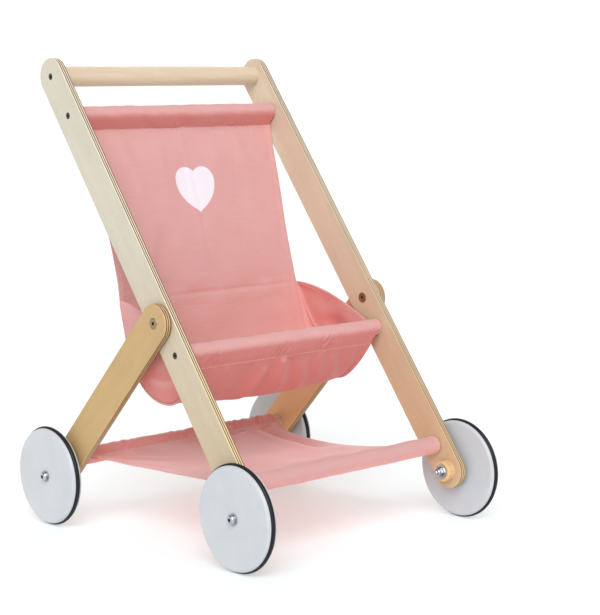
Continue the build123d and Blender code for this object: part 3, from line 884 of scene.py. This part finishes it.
# Soft folds: start and end as (x, distance from the stitches) in mm, then width and height.
BACK_FOLDS = [
    ((1, 0), (3, 205), 3.5, 0.4),
    ((-95, 0), (-70, 110), 7, 0.9),
    ((-40, 0), (-34, 90), 8, 0.5),
    ((48, 0), (52, 100), 8, 0.5),
    ((88, 0), (102, 120), 8, 0.8),
    ((-100, 206), (-52, 90), 9, 0.9),
    ((112, 206), (70, 105), 9, 1.0),
    ((-139, 207), (-122, 203), 2.5, 1.2),
]
PANEL_FOLDS = [
    ((-128, 6), (-116, 40), 6.4, -1.3),
    ((-111, 4), (-92, 42), 6.4, -2.0),
    ((-93, 5), (-68, 52), 7.2, -2.3),
    ((-54, 7), (-50, 44), 8.0, 1.5),
    ((-26, 14), (-44, 74), 7.2, -3.0),
    ((-3, 4), (11, 64), 8.0, -4.0),
    ((30, 12), (52, 72), 7.2, -2.3),
    ((58, 7), (72, 52), 8.0, -1.5),
    ((80, 12), (107, 76), 8.0, -2.3),
    ((114, 8), (122, 48), 7.2, -1.7),
]


def seat_displacement(section, x, s, share):
    """How far the strip stands off its side view, towards the sitter's side."""
    loop_start, back_start = section.span("top_loop")
    crease_at, panel_end = section.span("bucket")
    front_end = section.span("front_loop")[1]
    below_top, past_crease, past_panel = s - back_start, s - crease_at, s - panel_end

    down = np.clip(below_top / (crease_at - back_start), 0, 1)
    belly = -5.0 * MM * down**0.6 * (1 - np.abs(share) ** 2.6)
    belly = belly * (1 - step_up(s, crease_at, crease_at + 95 * MM))
    on_back = window(s, back_start, back_start + 25 * MM, crease_at - 12 * MM, crease_at)
    loose = 0.8 * MM * waves(x, s * 0.45, 45 * MM, 120 * MM, 5)
    rise = belly + on_back * (loose + folds(x, below_top, BACK_FOLDS))

    in_bucket = window(s, crease_at, crease_at + 18 * MM, panel_end - 8 * MM, panel_end)
    depth = np.sin(math.pi * np.clip(past_crease / (panel_end - crease_at), 0, 1))
    sag = -8.5 * MM * depth**1.4 * (1 - np.abs(share - 0.12) ** 2.4)
    uneven = 0.5 * MM * waves(x, s, 60 * MM, 140 * MM, 8)
    rise += in_bucket * (sag + uneven + folds(x, -past_panel, PANEL_FOLDS))

    rise += (below_top > 0) * puckers(x, below_top, 8.5 * MM, 0.25 * MM, 9 * MM, 21)
    on_flap = (below_top < 0) & (below_top > -16 * MM)
    rise += on_flap * puckers(x, below_top, 8.5 * MM, 0.6 * MM, 12 * MM, 21, 0.4)
    on_panel = (past_panel < 0) & (past_panel > -40 * MM)
    rise += on_panel * puckers(x, past_panel, 8.0 * MM, 0.55 * MM, 11 * MM, 31)
    on_front = (past_panel > 0) & (past_panel < 26 * MM)
    gathers = puckers(x, past_panel, 7.5 * MM, 1.15 * MM, 14 * MM, 31, 0.6)
    rise += on_front * gathers * step_up(past_panel, 0, 5.5 * MM)
    near_crease = np.abs(past_crease) < 40 * MM
    rise += near_crease * puckers(x, past_crease, 11 * MM, 0.22 * MM, 8 * MM, 41)
    round_bars = ((s > loop_start) & (s < back_start)) | ((s > panel_end) & (s < front_end))
    rise += round_bars * 0.36 * MM * waves(x, s * 1.5, 20 * MM, 80 * MM, 14)
    rise += groove(below_top, -0.8 * MM) + groove(past_panel, 0.9 * MM)
    rise += groove(past_crease, -0.7 * MM)

    edge = (1 - np.abs(share)) * PANEL_HALF
    seam = groove(edge - 8 * MM, 1.3 * MM, 2.4 * MM) - groove(edge - 3.4 * MM, 0.9 * MM, 2.2 * MM)
    on_seam = window(s, panel_end - 110 * MM, panel_end - 80 * MM, panel_end - 14 * MM, panel_end)
    return rise * (1 - np.abs(share) ** 6) + seam * on_seam


def make_seat(printed, material, thread):
    """The seat: one strip, two gussets, their seams and all their stitching."""
    section = seat_section()
    share = width_stations(SEAT_WIDTH_STEP)
    grid = grid_of_section(section, share, seat_displacement, CREASE_BOW, ("back", "bucket"))
    strip = Sheet("seat_cloth", *grid, hem_thickness(section, share), printed)
    top, (crease, front) = section.rows["back"][0], section.rows["bucket"]
    across = [(top + 1, 1), (top + 1, -1), (front - 1, -1), (front - 1, 1)]
    across += [(crease + 1, 1), (crease + 1, -1)]
    lines = [strip.line(side, row=row, low=3, high=len(share) - 3) for row, side in across]
    for column in columns_at(share, HEM_STITCHES):
        for side in (1, -1):
            lines.append(strip.line(side, column=column, low=top + 2, high=crease))
    for column in columns_at(share, PANEL_STITCHES):
        lines.append(strip.line(-1, column=column, low=crease, high=front))
    stitching = stitches("seat_stitching", lines, thread)
    on_frame(strip.piece, stitching)
    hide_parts("seat_strip")
    for name, sign in SIDES.items():
        side = (slice(crease, front + 1), -1 if sign > 0 else 0)
        edge = strip.points[side] - strip.normals[side] * 0.7 * MM
        edge[:, 0] -= sign * 0.3 * MM
        seam = piping(f"seat_{name}_seam", edge, strip.normals[side], grid[1][side][:, 1], material)
        on_frame(seam)
        make_gusset(name, sign, section, strip.points[side][:, 1:], material, thread)


# A gusset's lower edge past the strip's front stitches, up behind the front bar: (y, z) in mm.
GUSSET_TAIL = [
    (-54.6, 206.6), (-50.2, 210.3), (-45.4, 215.6), (-42.2, 221.0), (-42.4, 226.5), (-45.0, 231.5)
]
GUSSET_COLUMNS = 46  # from the seam, v = 0, to the hem, v = 1


def make_gusset(name, sign, section, seam, material, thread):
    """A side panel sewn along the strip's edge, with a hemmed top edge."""
    first, last = section.rows["bucket"]
    bucket = slice(first, last + 1)
    tail = respace(np.vstack([seam[-1], np.array(GUSSET_TAIL) * MM]), SEAT_STEP)
    edge = np.vstack([seam + section.normal[bucket] * 1.0 * MM, tail[1:]])
    flare = np.linspace(FRONT_HALF, 148.5 * MM, len(tail) - 1)
    edge_x = np.concatenate([section.line[bucket, 2] - 1.2 * MM, flare])
    front, back = edge[-1], edge[0]
    rows = len(edge)
    v = np.linspace(0, 1, GUSSET_COLUMNS)[None, :]
    sideways = np.clip((back[0] - edge[:, 0]) / (back[0] - front[0]), 0, 1)
    sideways = 0.75 * np.maximum.accumulate(sideways) + 0.25 * np.linspace(0, 1, rows)
    sideways = sideways[:, None]
    hem = back + (front - back) * sideways
    hem = hem + np.column_stack([0 * sideways, 8 * MM * np.sin(math.pi * sideways**0.8)])
    y = edge[:, 0][:, None] * (1 - v) + hem[:, 0][:, None] * v
    z = edge[:, 1][:, None] * (1 - v) + hem[:, 1][:, None] * v

    hem_x = 140 * MM + 7.5 * MM * sideways + 2 * MM * np.sin(math.pi * sideways)
    swell = np.sin(math.pi * np.clip(sideways, 0, 1)) ** 0.7
    x = edge_x[:, None] * (1 - v) + hem_x * v + 9.5 * MM * swell * np.sin(math.pi * v**0.65)
    x = x - 1.5 * MM * swell * np.exp(-(((v - 0.30) / 0.05) ** 2))
    seed = 50 if sign > 0 else 60
    x = x + swell * np.sin(math.pi * v) * 1.3 * MM * waves(y, z, 26 * MM, 80 * MM, seed)
    s = section.s[first] + np.linspace(0, 1, rows)[:, None] * 0.23
    length = np.linalg.norm(edge - hem, axis=1)[:, None]
    gathers = puckers(s, length * v, 9 * MM, 0.35 * MM, 7 * MM, seed + 3)
    x = x + swell * gathers * step_up(v, 0, 0.06)
    x = np.minimum(x, BOARD_INNER - 1.6 * MM)

    points = np.stack([sign * x, y, z], axis=-1)
    thick = HALF_CLOTH + 0.2 * MM * (1 - step_up(length * (1 - v), 5 * MM, 7.5 * MM))
    flat = np.stack([y, z], axis=-1)
    gusset = Sheet(f"seat_{name}_gusset_cloth", points, flat, thick, material)
    hem_column = GUSSET_COLUMNS - 4
    lines = [gusset.line(side, column=hem_column, low=14, high=rows - 1) for side in (1, -1)]
    stitching = stitches(f"seat_{name}_gusset_stitching", lines, thread)
    on_frame(gusset.piece, stitching)
    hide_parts(f"seat_{name}_gusset")


# ---------------------------------------------------------------- the basket

BASKET_STITCH_FRONT = BASKET_FRONT + np.array([15.3, -1.6]) * MM
BASKET_STITCH_REAR = BASKET_REAR + np.array([-16.35, 1.2]) * MM
BASKET_STEP = 2.1 * MM  # between rows of the cloth
BASKET_WIDTH_STEP = 1.8 * MM  # between its columns
BASKET_END_HALF = 148 * MM  # half the width of its turned ends
UNDER = 1  # the side of its grid that faces the ground

# Side view points from front to rear, waisted between the bars: (y, z, half width) in mm.
BASKET_LINE = [
    (-112, 83.5, 145), (-88, 80.5, 138), (-55, 77.2, 133.5), (0, 75.0, 132),
    (50, 75.3, 133), (82, 77.0, 137), (108, 79.4, 143.5),
]
BASKET_FOLDS = [
    ((-110, 26), (60, 22), 5.0, -2.7),
    ((-70, 42), (112, 30), 6.0, -3.7),
    ((-20, 62), (128, 46), 6.0, -1.5),
    ((112, 256), (106, 110), 11.0, 9.0),
    ((140, 262), (136, 60), 12.0, 3.5),
    ((146, 258), (10, 228), 5.0, -2.0),
    ((-142, 258), (-60, 196), 5.0, -1.5),
    ((-144, 254), (-100, 150), 5.0, -1.5),
    ((-142, 261), (-90, 246), 3.5, -2.7),
    ((-140, 262), (-112, 258), 2.5, 2.4),
    ((-148, 6), (-90, 70), 6.0, -1.7),
    ((148, 6), (95, 60), 6.0, -2.0),
]


def basket_section():
    """The basket cloth from its hem under the front stitches, round both bars."""
    section = Section(BASKET_STEP)
    front, rear = BASKET_STITCH_FRONT, BASKET_STITCH_REAR
    under = np.array([0.1, -1.3]) * MM
    end = wide(front + under + np.array([8, -0.8]) * MM, BASKET_END_HALF)
    loop = sleeve_loop(BASKET_FRONT, front, True)
    section.add("front_hem", end, wide(front + under), curved=False)
    section.add("front_loop", wide(front + under), wide(loop), wide(front), curved=False)
    section.add("panel", wide(front), np.array(BASKET_LINE) * MM, wide(rear))
    loop = sleeve_loop(BASKET_REAR, rear, True)
    section.add("rear_loop", wide(rear), wide(loop), wide(rear + under), curved=False)
    end = wide(rear + under + np.array([-8, -0.8]) * MM, BASKET_END_HALF)
    section.add("rear_hem", wide(rear + under), end, curved=False)
    return section.close()


def basket_displacement(section, x, s, share):
    """How far the basket cloth stands below its side view."""
    start, end = section.span("panel")
    from_front, from_rear = s - start, s - end
    place = np.clip(from_front / (end - start), 0, 1)
    taut = (1.4 * share - 2.2) * MM * np.abs(share) ** 3.5 * np.sin(math.pi * place) ** 0.8
    uneven = 0.8 * MM * waves(x, s, 55 * MM, 140 * MM, 71) * (1 - np.abs(share) ** 4)
    on_panel = window(place, 0, 0.06, 0.95, 1)
    drop = on_panel * (taut + uneven + folds(x, from_front, BASKET_FOLDS))
    rear = puckers(x, from_rear, 15 * MM, 1.9 * MM, 18 * MM, 81, 0.9)
    rear = rear + puckers(x, from_rear, 7 * MM, 0.22 * MM, 9 * MM, 83)
    drop += rear * (np.abs(from_rear) < 50 * MM) * step_up(np.abs(from_rear), 0, 8 * MM)
    front = puckers(x, from_front, 12 * MM, 0.2 * MM, 9 * MM, 91)
    drop += front * (np.abs(from_front) < 40 * MM) * step_up(np.abs(from_front), 0, 2 * MM)
    round_bars = (s < start) | (s > end)
    drop += round_bars * 0.32 * MM * waves(x, s * 1.5, 20 * MM, 80 * MM, 15)
    return drop + groove(from_rear, -0.8 * MM)


def make_basket(material, thread):
    """The basket cloth and its stitching."""
    section = basket_section()
    share = width_stations(BASKET_WIDTH_STEP)
    grid = grid_of_section(section, share, basket_displacement)
    cloth = Sheet("basket_cloth", *grid, hem_thickness(section, share), material)
    first, last = section.rows["panel"]
    across = [(first + 1, UNDER), (last - 1, UNDER), (last - 1, -UNDER)]
    lines = [cloth.line(side, row=row, low=3, high=len(share) - 3) for row, side in across]
    for column in columns_at(share, HEM_STITCHES):
        for side in (1, -1):
            lines.append(cloth.line(side, column=column, low=first + 2, high=last - 1))
    stitching = stitches("basket_stitching", lines, thread)
    for piece in (cloth.piece, stitching):
        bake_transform(piece)
    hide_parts("basket_panel", "basket_front_sleeve", "basket_rear_sleeve")


# ---------------------------------------------------------------- the whole part

# Lit and shaded copies of each cotton; the shaded colour is painted shade on faces that look down.
PINK_LIT, PINK_SHADED = (0.597, 0.314, 0.296, 1), (0.57, 0.185, 0.168, 1)
BASKET_LIT, BASKET_SHADED = (0.575, 0.315, 0.298, 1), (0.575, 0.20, 0.185, 1)
# Painted bounce light, stronger in the basket's hollows under the seat.
BASKET_BOUNCE_TINT = (1.45, 1.32, 1.29, 1)
THREAD_LIT, THREAD_SHADED = (0.66, 0.40, 0.37, 1), (0.64, 0.35, 0.32, 1)
# The printed heart: its middle across and along the cloth, and its size.
HEART = (9 * MM, seat_section().span("back")[0] + 84 * MM, 26 * MM)

make_camera()
make_stage()
paint_frame()
pink_print = cotton("pink_cotton_printed", PINK_LIT, PINK_SHADED, motif=HEART)
pink = cotton("pink_cotton", PINK_LIT, PINK_SHADED)
pink_thread = cotton("pink_thread", THREAD_LIT, THREAD_SHADED, 0.3 * MM)
make_seat(pink_print, pink, pink_thread)
rear_sleeve = basket_section().span("rear_loop")[0]
pink_basket = cotton(
    "pink_cotton_basket", BASKET_LIT, BASKET_SHADED,
    bounce_tint=BASKET_BOUNCE_TINT, underside_shade=0.3, shaded_beyond=rear_sleeve,
)
make_basket(pink_basket, pink_thread)
